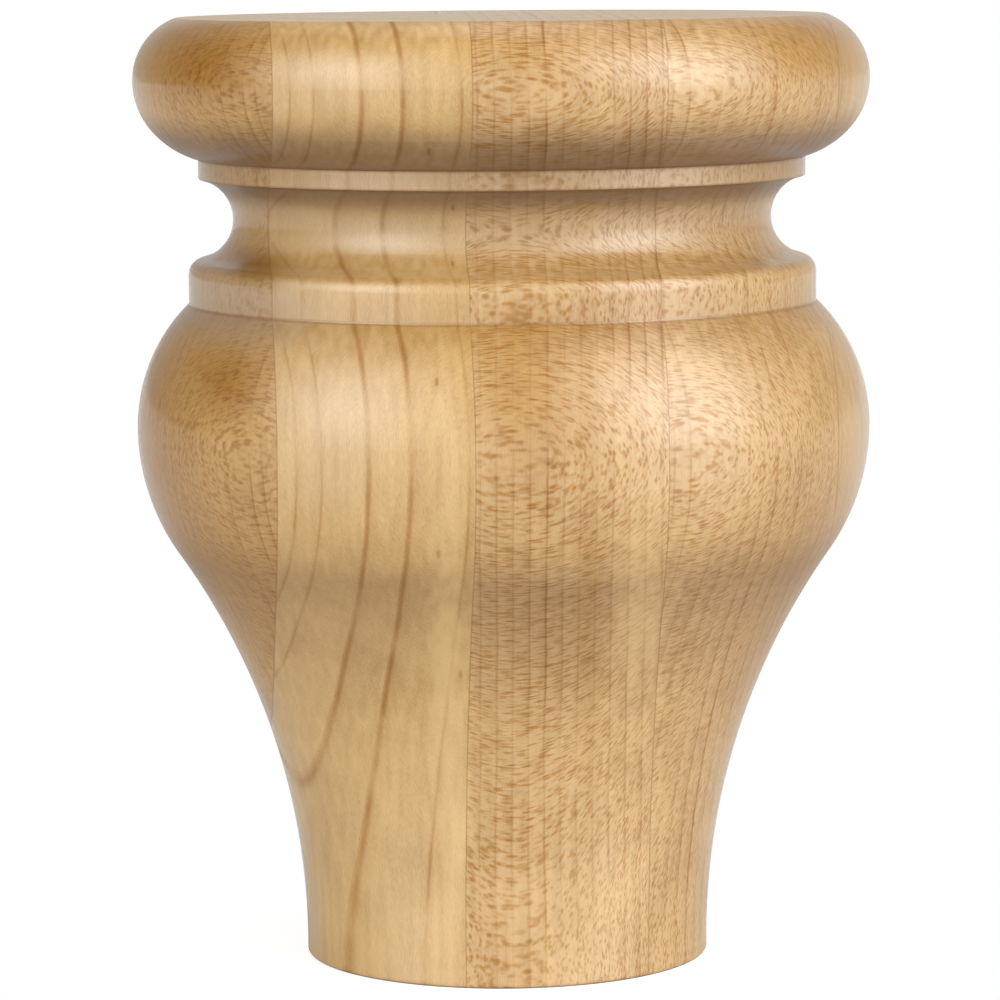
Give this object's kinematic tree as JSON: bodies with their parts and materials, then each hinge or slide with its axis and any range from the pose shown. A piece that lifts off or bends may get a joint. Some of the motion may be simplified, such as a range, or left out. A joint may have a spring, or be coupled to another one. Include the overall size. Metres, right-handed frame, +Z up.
{
  "type": "tulip bun foot",
  "caption": "Turned hardwood furniture foot: a rounded bead over a cove and collar, with a full bulge that tapers to a slender neck on a flat floor face.",
  "frame": {"origin": "centre of the floor face, where the neck stands on the floor", "axes": "+Z up along the turning axis, from the floor face to the top face; X runs across the glued strips"},
  "size_m": [0.0888, 0.0888, 0.1143],
  "materials": {
    "clear_finished_maple": "satin clear finish over glued hard maple strips"
  },
  "bodies": {
    "root": {"tulip_foot": "clear_finished_maple"}
  },
  "joints": []
}
